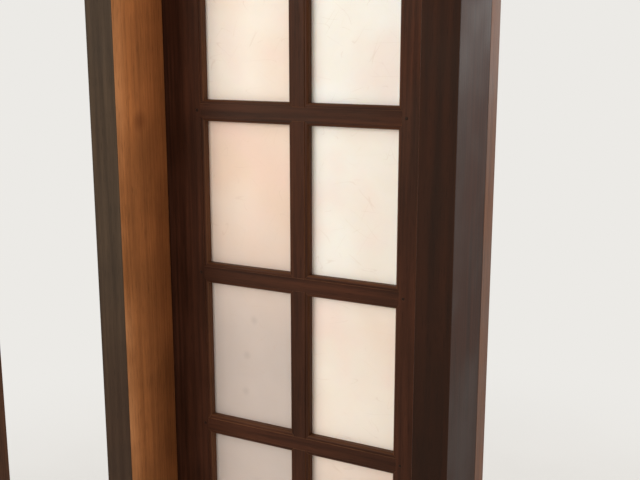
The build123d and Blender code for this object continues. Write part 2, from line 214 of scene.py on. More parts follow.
def add_modifier(piece: Piece, kind: str, **settings: object) -> None:
    """Adds a modifier with its settings.

    Args:
        piece: The object that gets it.
        kind: The modifier's type.
        settings: Its properties.
    """
    modifier = piece.modifiers.new(kind.lower(), kind)
    for key, value in settings.items():
        setattr(modifier, key, value)


def corners_of(node: str) -> tuple[np.ndarray, np.ndarray]:
    """The lowest and the highest corner of a node."""
    low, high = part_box(node)
    return np.array(low), np.array(high)


def solids_of(node: str, axis: int, reach: float = 12 * MM) -> list[tuple[np.ndarray, np.ndarray]]:
    """Finds the separate solids of a node, which all lie along one axis.

    Points belong together where they are nearer than the reach, seen along the axis.

    Args:
        node: The node's name.
        axis: The axis that the solids lie along, 0 to 2.
        reach: The most that two points of one solid may be apart.

    Returns:
        The lowest and the highest corner of each.
    """
    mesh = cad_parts[node].data
    points = np.empty(len(mesh.vertices) * 3)
    mesh.vertices.foreach_get("co", points)
    points = points.reshape(-1, 3)
    found = []
    while len(points):
        beside = np.linalg.norm(np.delete(points - points[0], axis, axis=1), axis=1) < reach
        found.append((points[beside].min(axis=0), points[beside].max(axis=0)))
        points = points[~beside]
    return found


# Materials

# A Mix node has sockets for each kind of value. These are the numbers of its factor, of its inputs for
# plain values, and of its inputs and its output for colours.
FACTOR = 0
FIRST_VALUE, SECOND_VALUE = 2, 3
FIRST, SECOND, MIXED = 6, 7, 2
TINT = {"data_type": "RGBA"}
SMOOTH = {"interpolation_type": "SMOOTHSTEP"}
# How far apart the rings of a wave texture with a scale of 1 lie, in metres.
WAVE_PERIOD = 2 * math.pi / 20


class Ramp(NamedTuple):
    """A smooth change of a value into another, in the order of a Map Range node's inputs.

    Attributes:
        start: The value that gives low.
        end: The value that gives high.
        low: The result up to the start.
        high: The result from the end on.
    """

    start: float
    end: float
    low: float = 0.0
    high: float = 1.0


def linear(colour: str) -> Colour:
    """Turns an sRGB hex colour into linear light.

    Args:
        colour: A hash and six hex digits.

    Returns:
        Red, green, blue and an alpha of 1.
    """
    levels = [int(colour[i : i + 2], 16) / 255 for i in (1, 3, 5)]
    return (*[x / 12.92 if x <= 0.04045 else ((x + 0.055) / 1.055) ** 2.4 for x in levels], 1.0)


def add_node(
    tree: Tree,
    kind: str,
    inputs: dict[str | int, object] | tuple[object, ...] = (),
    output: str | int = 0,
    **settings: object,
) -> Socket | None:
    """Adds a shader node, with its settings, constants and links.

    Args:
        tree: The material's nodes.
        kind: The node's type, without the ShaderNode before it.
        inputs: A constant or the output that feeds it for each input, in their order, or by name or number.
        output: The name or number of the output that is wanted.
        settings: The node's own properties.

    Returns:
        The wanted output, or None from a node that has none.
    """
    node = tree.nodes.new("ShaderNode" + kind)
    for key, value in settings.items():
        setattr(node, key, value)
    for key, value in inputs.items() if isinstance(inputs, dict) else enumerate(inputs):
        if isinstance(value, Socket):
            tree.links.new(value, node.inputs[key])
        else:
            node.inputs[key].default_value = value
    return node.outputs[output] if node.outputs else None


def new_material(name: str) -> tuple[Material, Tree]:
    """Makes a material with no nodes.

    Args:
        name: Its name.

    Returns:
        The material and its empty node tree.
    """
    material = bpy.data.materials.new(name)
    material.use_nodes = True
    material.node_tree.nodes.clear()
    return material, material.node_tree


@dataclass(frozen=True)
class Figure:
    """What a wood's pattern gives to its colour, as the outputs of nodes.

    Attributes:
        place: The coordinates, in metres.
        streak: 0 in late wood and 1 in early wood.
        pore: 1 in an open pore.
        blotch: The noise of the uneven patches.
    """

    place: Socket
    streak: Socket
    pore: Socket
    blotch: Socket


@dataclass(frozen=True)
class Wood:
    """Planed wood: long soft streaks and growth rings along the grain, fine pores and uneven patches.

    Attributes:
        name: The finish's name.
        dark: The late wood.
        light: The early wood.
        rubbed: Where hands have worn the arrises.
        ring_mm: The distance between growth rings.
        ring_share: How much of the pattern the rings make. The streaks make the rest.
        ring_bend: How far the rings wander from round.
        ring_waves: How fine their wandering is.
        streak_mm: How wide the soft streaks are.
        pore_mm: How wide a pore's streak is drawn. A real one is 0.2 mm, too fine to show.
        patch_mm: The size of the uneven patches in the finish.
        along: How fine the pattern is along the grain, as a share of across it.
        streaks: From the noise to the share of early wood.
        pores: From the noise to how open a pore is.
        pore_shade: How much darker an open pore is.
        pore_depth: How deep an open pore is, against the height of the streaks.
        relief: How strongly streaks and pores are felt.
        relief_depth: How deep they are.
        patches: From the patches to how light the colour is.
        rubbing: From the patches to how far the arrises are worn.
        roughness: From the patches to how rough the finish is.
        gloss: Its specular level. A whole film has 0.5, and open pores have less.
        sheen: What colour the gloss has.
        arris_mm: How far the edges are rounded.
    """

    name: str
    dark: str
    light: str
    rubbed: str
    ring_mm: float = 7
    ring_share: float = 0.35
    ring_bend: float = 9
    ring_waves: float = 0.6
    streak_mm: float = 9
    pore_mm: float = 1.2
    patch_mm: float = 170
    along: float = 0.04
    streaks: Ramp = Ramp(0.3, 0.7)
    pores: Ramp = Ramp(0.56, 0.72)
    pore_shade: float = 0.35
    pore_depth: float = 0.6
    relief: float = 0.3
    relief_depth: float = 0.3 * MM
    patches: Ramp = Ramp(0.25, 0.75, 0.8, 1.18)
    rubbing: Ramp = Ramp(0.3, 0.6)
    roughness: Ramp = Ramp(0.3, 0.7, 0.44, 0.6)
    gloss: float = 0.2
    sheen: str = "#E0C4AC"
    arris_mm: float = 0.7

    def figure(self, tree: Tree, grain: Grain, shift: Point) -> Figure:
        """Adds the wood's pattern, drawn out along the grain.

        The growth rings are cylinders about the tree's heart, which lies beside the board.

        Args:
            tree: The material's nodes.
            grain: Which way the fibres run.
            shift: What is added to the board's coordinates, so that they count from the tree's heart.

        Returns:
            The pattern's outputs.
        """
        place = add_node(tree, "TexCoord", output="UV" if grain is Grain.CHARTED else "Object")
        axes = {axis: add_node(tree, "SeparateXYZ", (place,), axis) for axis in "XYZ"}
        board = add_node(tree, "CombineXYZ", tuple(axes[axis] for axis in grain.value))
        moved = add_node(tree, "VectorMath", (board, shift), operation="ADD")
        fibre = add_node(tree, "Mapping", {"Vector": moved, "Scale": (1, 1, self.along)})
        soft = {"Vector": fibre, "Scale": 1 / (self.streak_mm * MM), "Detail": 3, "Roughness": 0.6}
        streak = add_node(tree, "MapRange", (add_node(tree, "TexNoise", soft), *self.streaks), **SMOOTH)
        round_heart = {
            "Vector": fibre,
            "Scale": WAVE_PERIOD / (self.ring_mm * MM),
            "Distortion": self.ring_bend,
            "Detail Scale": self.ring_waves,
        }
        rings = add_node(tree, "TexWave", round_heart, "Fac", wave_type="RINGS", rings_direction="Z")
        shares = {FACTOR: self.ring_share, FIRST_VALUE: streak, SECOND_VALUE: rings}
        both = add_node(tree, "Mix", shares)
        fine = add_node(tree, "TexNoise", {"Vector": fibre, "Scale": 1 / (self.pore_mm * MM), "Detail": 1})
        pore = add_node(tree, "MapRange", (fine, *self.pores), **SMOOTH)
        blotch = add_node(tree, "TexNoise", {"Vector": moved, "Scale": 1 / (self.patch_mm * MM)})
        return Figure(place, both, pore, blotch)

    def body_colour(self, tree: Tree, figure: Figure) -> Socket:
        """The wood's own colour: late wood in the dark streaks and early wood in the light ones."""
        tones = {FACTOR: figure.streak, FIRST: linear(self.dark), SECOND: linear(self.light)}
        return add_node(tree, "Mix", tones, MIXED, **TINT)

    def material(self, board: str, grain: Grain, shift: Point, rubbed: bool = False) -> Material:
        """Makes the finish of one board.

        Args:
            board: The board's name.
            grain: Which way its fibres run.
            shift: What is added to the board's coordinates, so that they count from the tree's heart.
            rubbed: True for the worn arrises.

        Returns:
            The material.
        """
        material, tree = new_material(f"{self.name}.{board}" + (".arris" if rubbed else ""))
        figure = self.figure(tree, grain, shift)
        colour = self.body_colour(tree, figure)
        if rubbed:
            worn = add_node(tree, "MapRange", (figure.blotch, *self.rubbing), **SMOOTH)
            tones = {FACTOR: worn, FIRST: colour, SECOND: linear(self.rubbed)}
            colour = add_node(tree, "Mix", tones, MIXED, **TINT)
        patchy = add_node(tree, "MapRange", (figure.blotch, *self.patches), **SMOOTH)
        shade = add_node(tree, "Math", (figure.pore, -self.pore_shade, 1), operation="MULTIPLY_ADD")
        for share in (patchy, shade):
            colour = add_node(tree, "VectorMath", {"Vector": colour, "Scale": share}, operation="SCALE")
        hollows = (figure.pore, -self.pore_depth, figure.streak)
        height = add_node(tree, "Math", hollows, operation="MULTIPLY_ADD")
        relief = {"Strength": self.relief, "Distance": self.relief_depth, "Height": height}
        film = {
            "Base Color": colour,
            "Roughness": add_node(tree, "MapRange", (figure.blotch, *self.roughness), **SMOOTH),
            "Normal": add_node(tree, "Bump", relief),
            "IOR": 1.5,
            "Specular IOR Level": self.gloss,
            "Specular Tint": linear(self.sheen),
        }
        add_node(tree, "OutputMaterial", {"Surface": add_node(tree, "BsdfPrincipled", film)})
        return material


@dataclass(frozen=True)
class StainedHardwood(Wood):
    """Hardwood with a dark brown stain and a sparing coat of satin oil.

    The eye gets a near-black red brown, a little paler along the arrises that hands have worn. The faces that
    look aside carry painted light in the rubbed colour. The sheen is weak and has the stain's colour,
    because the pores stay open.

    Attributes:
        side_light: From the square of how far a face looks forwards to how much rubbed colour it gets as
            painted light.
    """

    name: str = "stained_hardwood"
    dark: str = "#2D160D"
    light: str = "#462618"
    # Also the colour of the painted light on the faces that look aside.
    rubbed: str = "#6B452C"
    side_light: Ramp = Ramp(0.5, 0.98, 0.45, 0.0)

    def body_colour(self, tree: Tree, figure: Figure) -> Socket:
        """The stain, with painted light on the faces that look aside: the mouldings and the inner edges.

        Args:
            tree: The material's nodes.
            figure: The wood's pattern.

        Returns:
            The colour.
        """
        flat = super().body_colour(tree, figure)
        normal = add_node(tree, "NewGeometry", output="Normal")
        forward = add_node(tree, "SeparateXYZ", (normal,), "Y")
        square = add_node(tree, "Math", (forward, forward), operation="MULTIPLY")
        # Painted light: the more a face looks aside, the more of the paler rubbed colour it takes.
        side_lit = add_node(tree, "MapRange", (square, *self.side_light), **SMOOTH)
        return add_node(tree, "Mix", {FACTOR: side_lit, FIRST: flat, SECOND: linear(self.rubbed)}, MIXED, **TINT)


@dataclass(frozen=True)
class OiledLining(Wood):
    """Oiled softwood, orange brown into the doorway and dark on the other faces: painted light and shade.

    Attributes:
        inward: The direction into the doorway, from this board.
        recess_shade_dark: The late wood next to the leaf, in painted shade.
        recess_shade_light: The early wood there.
        shaded_dark: The late wood of the other faces, in painted shade.
        shaded_light: The early wood of the other faces, in painted shade.
        recess_shading: From the depth to how much painted shade the inward face gets towards the leaf.
        daylight: From the height to how light the inward face is, as painted light that is brighter higher
            up.
        pale: The painted light at the front of the inward face.
        front_light: From the depth to how much of that painted light there is.
        front_light_patches: From the patches to how much of that shows.
        low_shade: The painted shade of the other faces low down.
        darkening: From the height to how much of that painted shade they get.
        facing: From how far a face looks inwards to how much it counts as the inward face.
        knots: Where a knot shows.
        knot: The colour of a knot.
        knot_fade: From the distance to the knot's middle to how strong it is.
    """

    name: str = "oiled_lining"
    # The lit tones of the faces into the doorway, as painted light.
    dark: str = "#804F2B"
    light: str = "#9A6035"
    rubbed: str = "#7E4E30"
    streak_mm: float = 13
    roughness: Ramp = Ramp(0.3, 0.7, 0.54, 0.7)
    inward: Point = (1.0, 0.0, 0.0)
    recess_shade_dark: str = "#6A3B1D"
    recess_shade_light: str = "#7F4A25"
    shaded_dark: str = "#30251B"
    shaded_light: str = "#463729"
    recess_shading: Ramp = Ramp(LINING_FRONT, LINING_BACK)
    daylight: Ramp = Ramp(0.5, 2.1, 0.85, 1.2)
    pale: str = "#AB764C"
    front_light: Ramp = Ramp(LINING_FRONT, LINING_FRONT + 42 * MM, 0.6, 0.0)
    front_light_patches: Ramp = Ramp(0.35, 0.6)
    low_shade: str = "#2C180F"
    darkening: Ramp = Ramp(0.75, 1.25, 0.5, 0.0)
    facing: Ramp = Ramp(0.72, 0.95)
    knots: tuple[Point, ...] = ()
    knot: str = "#4E2410"
    knot_fade: Ramp = Ramp(2.8 * MM, 28 * MM, 0.5, 0.0)

    def body_colour(self, tree: Tree, figure: Figure) -> Socket:
        """Painted light on the inward face, less towards the leaf and the floor, and painted shade on the
        others.

        Args:
            tree: The material's nodes.
            figure: The wood's pattern.

        Returns:
            The colour.
        """
        depth = add_node(tree, "SeparateXYZ", (figure.place,), "Y")
        height = add_node(tree, "SeparateXYZ", (figure.place,), "Z")
        # Three tones: the inward face lit, its painted shade next to the leaf, and the other faces in painted
        # shade.
        darks = (self.dark, self.recess_shade_dark, self.shaded_dark)
        lights = (self.light, self.recess_shade_light, self.shaded_light)
        streaky = [
            {FACTOR: figure.streak, FIRST: linear(dark), SECOND: linear(light)}
            for dark, light in zip(darks, lights)
        ]
        inner, deep, outer = (add_node(tree, "Mix", tones, MIXED, **TINT) for tones in streaky)
        # Painted shade: the inward face goes darker towards the leaf, deep in the doorway.
        share = add_node(tree, "MapRange", (depth, *self.recess_shading), **SMOOTH)
        inner = add_node(tree, "Mix", {FACTOR: share, FIRST: inner, SECOND: deep}, MIXED, **TINT)
        # Painted light: lighter towards the head, darker towards the floor.
        light = add_node(tree, "MapRange", (height, *self.daylight), **SMOOTH)
        inner = add_node(tree, "VectorMath", {"Vector": inner, "Scale": light}, operation="SCALE")
        # Painted light, in patches: the front of the inward face is paler, where the light reaches in.
        near = add_node(tree, "MapRange", (depth, *self.front_light), **SMOOTH)
        patchy = add_node(tree, "MapRange", (figure.blotch, *self.front_light_patches), **SMOOTH)
        marks = [(add_node(tree, "Math", (near, patchy), operation="MULTIPLY"), self.pale)]
        for knot in self.knots:
            apart = add_node(tree, "VectorMath", (figure.place, knot), "Value", operation="DISTANCE")
            marks.append((add_node(tree, "MapRange", (apart, *self.knot_fade), **SMOOTH), self.knot))
        for share, tone in marks:
            inner = add_node(tree, "Mix", {FACTOR: share, FIRST: inner, SECOND: linear(tone)}, MIXED, **TINT)
        # Painted shade: the other faces darken towards the floor.
        low = add_node(tree, "MapRange", (height, *self.darkening), **SMOOTH)
        outer = add_node(tree, "Mix", {FACTOR: low, FIRST: outer, SECOND: linear(self.low_shade)}, MIXED, **TINT)
        # Painted light and shade: the faces into the doorway take the lit tones, the others the shaded ones.
        normal = add_node(tree, "NewGeometry", output="True Normal")
        faced = add_node(tree, "VectorMath", (normal, self.inward), "Value", operation="DOT_PRODUCT")
        share = add_node(tree, "MapRange", (faced, *self.facing), **SMOOTH)
        return add_node(tree, "Mix", {FACTOR: share, FIRST: outer, SECOND: inner}, MIXED, **TINT)


@dataclass(frozen=True)
class Column:
    """A column of sheets.

    Attributes:
        yellowed: How far each sheet has yellowed, from the lowest up.
        paper_shade: From the height to how much painted shade there is.
        phase: Which part of the waves its sheets have.
    """

    yellowed: tuple[float, ...]
    paper_shade: Ramp
    phase: float


@dataclass(frozen=True)
class PaperLaminate:
    """Mulberry paper bonded between clear films: matt and milky, with long stray fibres and soft clouds.

    Attributes:
        pale: The paper at its whitest.
        yellow: The paper where light has turned it.
        blush: The paper in its faint pink clouds.
        paper_shade: The paper in painted shade, dull and grey.
        fibre: A bark fibre.
        darkening: The grey of a smudge.
        cloud_mm: The size of the uneven pulp.
        clouds: From the pulp's noise to how light the colour is.
        turning: From a wider noise to how much more or less a sheet has yellowed there.
        blushing: From another noise to how pink it is.
        fibre_mm: How far apart the fibres lie.
        drawn: How many times as long as that they run before they bend away.
        strands: For each set of fibres, which way it runs, in radians from upright, and its shift.
        fibre_width: From how far a noise is off its middle value to how much of a fibre there is. It is
            drawn wider than a real one, which is too fine to show.
        second_grain: The size of a second noise, as a share of the first's.
        fibre_share: From that second noise to how much of a fibre shows.
        smudging: From the distance to a smudge's middle to how strong it is.
        edge_shadows: From the distance to the left and the top edge to how light the colour is: painted
            shadows.
        relief: How strongly the pulp is felt.
        relief_depth: How deep it is.
        glow: How much light spreads inside the sheet.
        spread: How far each of its colours spreads, as shares of the depth.
        spread_depth: How far it spreads.
    """

    pale: str = "#FFFAF0"
    yellow: str = "#F1D7C0"
    blush: str = "#F2CFC4"
    paper_shade: str = "#CCBDB1"
    fibre: str = "#C9A98C"
    darkening: str = "#A09084"
    cloud_mm: float = 60
    clouds: Ramp = Ramp(0.3, 0.7, 0.985, 1.012)
    turning: Ramp = Ramp(0.3, 0.7, -0.15, 0.15)
    blushing: Ramp = Ramp(0.45, 0.72, 0.0, 0.3)
    fibre_mm: float = 22
    drawn: float = 5
    strands: tuple[tuple[float, float], ...] = ((0.5, 0.0), (-0.9, 3.1), (1.5, 7.3))
    fibre_width: Ramp = Ramp(0.0, 0.01, 1.0, 0.0)
    second_grain: float = 0.7
    fibre_share: Ramp = Ramp(0.54, 0.64, 0.0, 0.16)
    smudging: Ramp = Ramp(0.0, 13 * MM, 0.26, 0.0)
    edge_shadows: tuple[Ramp, Ramp] = (Ramp(0.0, 34 * MM, 0.87, 1.0), Ramp(0.0, 34 * MM, 0.93, 1.0))
    relief: float = 0.2
    relief_depth: float = 0.3 * MM
    glow: float = 0.3
    spread: tuple[float, float, float] = (1.0, 0.8, 0.6)
    spread_depth: float = 4 * MM

    def fibres(self, tree: Tree, place: Socket, turn: float, shift: float) -> Socket:
        """Fine threads: where a slow noise crosses its middle value, in the parts that a second one picks.

        Args:
            tree: The material's nodes.
            place: The coordinates.
            turn: Which way the threads run, in radians from upright.
            shift: How far the noise is moved, to make another set of threads.

        Returns:
            How much of a thread shows, and 0 beside it.
        """
        placing = (place, (shift, 0, 0), (0, turn, 0), (1, 1, self.drawn))
        along = add_node(tree, "Mapping", placing, vector_type="TEXTURE")
        slow, second = (
            add_node(tree, "TexNoise", {"Vector": along, "Scale": 1 / (grain * MM), "Detail": 0})
            for grain in (self.fibre_mm, self.second_grain * self.fibre_mm)
        )
        apart = add_node(tree, "Math", (slow, 0.5), operation="SUBTRACT")
        off = add_node(tree, "Math", (apart,), operation="ABSOLUTE")
        near = add_node(tree, "MapRange", (off, *self.fibre_width), **SMOOTH)
        picked = add_node(tree, "MapRange", (second, *self.fibre_share), **SMOOTH)
        return add_node(tree, "Math", (near, picked), operation="MULTIPLY")

    def material(self, sheet: str, yellowed: float, paper_shade: Ramp, smudges: list[Point]) -> Material:
        """Makes the finish of one sheet.

        Args:
            sheet: The sheet's name.
            yellowed: How far it has yellowed, from 0 to 1.
            paper_shade: From the height to how much painted shade there is.
            smudges: Where it is smudged.

        Returns:
            The material.
        """
        material, tree = new_material(f"paper_laminate.{sheet}")
        place = add_node(tree, "TexCoord", output="Object")
        height = add_node(tree, "SeparateXYZ", (place,), "Z")
        pulp, pink, wide = (
            add_node(tree, "TexNoise", {"Vector": place, "Scale": 1 / (size * MM), "Detail": detail})
            for size, detail in ((self.cloud_mm, 3), (2 * self.cloud_mm, 2), (3 * self.cloud_mm, 1))
        )
        uneven = add_node(tree, "MapRange", (wide, *self.turning), **SMOOTH)
        tints = [
            (add_node(tree, "Math", (uneven, yellowed), operation="ADD"), self.yellow),
            (add_node(tree, "MapRange", (pink, *self.blushing), **SMOOTH), self.blush),
            # Painted shade: low on the sheets, where less light comes through, the paper goes grey.
            (add_node(tree, "MapRange", (height, *paper_shade), **SMOOTH), self.paper_shade),
        ]
        tints += [(self.fibres(tree, place, turn, shift), self.fibre) for turn, shift in self.strands]
        for smudge in smudges:
            apart = add_node(tree, "VectorMath", (place, smudge), "Value", operation="DISTANCE")
            tints.append((add_node(tree, "MapRange", (apart, *self.smudging), **SMOOTH), self.darkening))
        colour = linear(self.pale)
        for share, tone in tints:
            tones = {FACTOR: share, FIRST: colour, SECOND: linear(tone)}
            colour = add_node(tree, "Mix", tones, MIXED, **TINT)
        chart = add_node(tree, "TexCoord", output="UV")
        # The pulp's clouds, then the painted shadows of the bars along the left and top edges.
        shades = [(pulp, self.clouds)]
        for axis, shadow_ramp in zip("XY", self.edge_shadows):
            shades.append((add_node(tree, "SeparateXYZ", (chart,), axis), shadow_ramp))
        for value, shading in shades:
            light = add_node(tree, "MapRange", (value, *shading), **SMOOTH)
            colour = add_node(tree, "VectorMath", {"Vector": colour, "Scale": light}, operation="SCALE")
        relief = {"Strength": self.relief, "Distance": self.relief_depth, "Height": pulp}
        film = {
            "Base Color": colour,
            "Roughness": 0.62,
            "Normal": add_node(tree, "Bump", relief),
            "IOR": 1.47,
            "Subsurface Weight": self.glow,
            "Subsurface Radius": self.spread,
            "Subsurface Scale": self.spread_depth,
        }
        add_node(tree, "OutputMaterial", {"Surface": add_node(tree, "BsdfPrincipled", film)})
        return material


@dataclass(frozen=True)
class WornMetal:
    """A metal, drawn or pressed and then handled: bright where it is rubbed and dull where it has tarnished.

    Attributes:
        name: The finish's name.
        bright: The clean metal.
        dull: The tarnish.
        roughness: From the patches to how rough it is.
        patch_mm: The size of the tarnished patches.
        tarnish: From the patches to how tarnished it is.
        scratch_mm: How far apart the scratches are drawn. Real ones lie closer, too fine to show.
        along: How fine the scratches are along the piece, as a share of across it.
        scratches: From the scratches' noise to how light the colour is.
        relief: How strongly they are felt.
        relief_depth: How deep they are.
    """

    name: str
    bright: str
    dull: str
    roughness: Ramp = Ramp(0.35, 0.7, 0.3, 0.55)
    patch_mm: float = 18
    tarnish: Ramp = Ramp(0.42, 0.66)
    scratch_mm: float = 0.8
    along: float = 0.03
    scratches: Ramp = Ramp(0.3, 0.7, 0.88, 1.08)
    relief: float = 0.2
    relief_depth: float = 0.1 * MM

    def material(self) -> Material:
        """Makes the finish, with patches of tarnish and fine scratches along the piece.

        Returns:
            The material.
        """
        material, tree = new_material(self.name)
        place = add_node(tree, "TexCoord", output="Object")
        uneven = {"Vector": place, "Scale": 1 / (self.patch_mm * MM), "Detail": 4, "Roughness": 0.6}
        patch = add_node(tree, "TexNoise", uneven)
        drawn = add_node(tree, "Mapping", {"Vector": place, "Scale": (1, 1, self.along)})
        lines = {"Vector": drawn, "Scale": 1 / (self.scratch_mm * MM), "Detail": 1}
        scratch = add_node(tree, "TexNoise", lines)
        dulled = add_node(tree, "MapRange", (patch, *self.tarnish), **SMOOTH)
        tones = {FACTOR: dulled, FIRST: linear(self.bright), SECOND: linear(self.dull)}
        colour = add_node(tree, "Mix", tones, MIXED, **TINT)
        shine = add_node(tree, "MapRange", (scratch, *self.scratches), **SMOOTH)
        relief = {"Strength": self.relief, "Distance": self.relief_depth, "Height": scratch}
        skin = {
            "Base Color": add_node(tree, "VectorMath", {"Vector": colour, "Scale": shine}, operation="SCALE"),
            "Metallic": 1.0,
            "Roughness": add_node(tree, "MapRange", (patch, *self.roughness), **SMOOTH),
            "Normal": add_node(tree, "Bump", relief),
        }
        add_node(tree, "OutputMaterial", {"Surface": add_node(tree, "BsdfPrincipled", skin)})
        return material


STAINED = StainedHardwood()
LINING = OiledLining()
# Planed and oiled softwood: a dull middle brown with a coarse figure.
TRACK_WOOD = Wood("track_softwood", "#45291A", "#5F3C27", "#7A543A", streak_mm=12)
# Planed hardwood with little stain: fine streaks, browner than the leaf.
BEAD_WOOD = Wood("bead_hardwood", "#33190F", "#5A3624", "#6A4734", streak_mm=3, pore_mm=0.8)
# Split hardwood, stained with the leaf: nearly black, because its ends drink the stain.
PEG_WOOD = Wood("peg_hardwood", "#170C08", "#2C1A12", "#2C1A12", streak_mm=2, pore_mm=0.6)
# Pressed, turned and drawn brass, left to age: warm yellow, with brown patches.
BRASS = WornMetal("aged_brass", "#C09A5A", "#8C6C3A")
# Stamped steel with a zinc plating: pale grey, with dull patches.
STEEL = WornMetal("zinc_plated_steel", "#B4B2AC", "#7C776E", roughness=Ramp(0.35, 0.7, 0.35, 0.6))


# Sub-assemblies


@dataclass
class SubAssembly:
    """A part of the screen that is built and dressed together."""

    def build(self) -> list[Piece]:
        """Makes the pieces that stand for nodes of the frame, or that the frame leaves out."""
        return []

    def dress(self) -> list[Piece]:
        """Finishes the nodes of the frame that show as they are."""
        return []


def ease_edges(part: Piece, width: float, sharp_angle: float, strip: int = -1) -> None:
    """Rounds the edges of a node.

    Its loose triangles are joined and its flat faces made whole first, so that the rounding can run
    along them.

    Args:
        part: The node's object.
        width: How wide its edges are rounded, in metres.
        sharp_angle: In degrees, the angle between faces past which their edge is rounded.
        strip: Which of its materials the rounded strips take, or -1 for that of the faces beside them.
    """
    add_modifier(part, "WELD", merge_threshold=SAME_POINT)
    add_modifier(part, "DECIMATE", decimate_type="DISSOLVE", angle_limit=math.radians(FLAT))
    add_modifier(
        part, "BEVEL", limit_method="ANGLE", angle_limit=math.radians(sharp_angle), width=width, segments=2,
        material=strip,
    )


@dataclass(frozen=True)
class Heart:
    """The heart of each board's tree, which lies beside the board, so that no two have the same figure.

    Counted from the heart, board n lies at sideways sin(n a) across its grain, at behind + sway cos(n b)
    towards the back and at n steps along its grain, with a and b as the turns.

    Attributes:
        sideways: How far to either side of the heart the boards lie.
        behind: How far behind the heart they lie.
        sway: How far that moves back and forth.
        step: How much further along the tree each board was cut.
        turns: How far both movements go on for each board, in radians.
    """

    sideways: float = 20 * MM
    behind: float = 70 * MM
    sway: float = 30 * MM
    step: float = 370 * MM
    turns: tuple[float, float] = (2.4, 1.7)

    def shift(self, number: int, middle: float) -> Point:
        """Finds where one board lies in its tree.

        Args:
            number: The board's number.
            middle: Where the board's middle lies, across its grain.

        Returns:
            What is added to the board's coordinates, so that they count from the heart.
        """
        aside, back = (turn * number for turn in self.turns)
        return (
            self.sideways * math.sin(aside) - middle,
            self.behind + self.sway * math.cos(back),
            self.step * number,
        )


def finish_board(node: str, wood: Wood, grain: Grain, number: int) -> Piece:
    """Gives a board its wood and rounds its edges, whose strips take the rubbed finish.

    Args:
        node: The board's node.
        wood: What it is made of.
        grain: Which way its fibres run.
        number: The board's number, which sets its own part of the pattern.

    Returns:
        The board's object.
    """
    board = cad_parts[node]
    low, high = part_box(node)
    across = "XYZ".index(grain.value[0])
    heart = Heart().shift(number, (low[across] + high[across]) / 2)
    board.data.materials.clear()
    for rubbed in (False, True):
        board.data.materials.append(wood.material(node, grain, heart, rubbed))
    ease_edges(board, wood.arris_mm * MM, sharp_angle=35, strip=1)
    return board


def finish_metal(node: str, metal: Material, rounding: float) -> Piece:
    """Gives a metal node its finish and breaks its edges.

    Args:
        node: The node.
        metal: Its finish.
        rounding: How wide its edges are rounded, in metres.

    Returns:
        The node's object.
    """
    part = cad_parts[node]
    part.data.materials.clear()
    part.data.materials.append(metal)
    ease_edges(part, rounding, sharp_angle=50)
    return part


@dataclass
class Carcass(SubAssembly):
    """A set of joined boards, some standing and some lying.

    Attributes:
        boards: For each board's node, its wood and which way its grain runs.
        first: The number of the first board, so that no two boards have the same figure.
    """

    boards: dict[str, tuple[Wood, Grain]]
    first: int = 0

    def dress(self) -> list[Piece]:
        """Finishes every board of the set."""
        return [
            finish_board(node, wood, grain, self.first + number)
            for number, (node, (wood, grain)) in enumerate(self.boards.items())
        ]


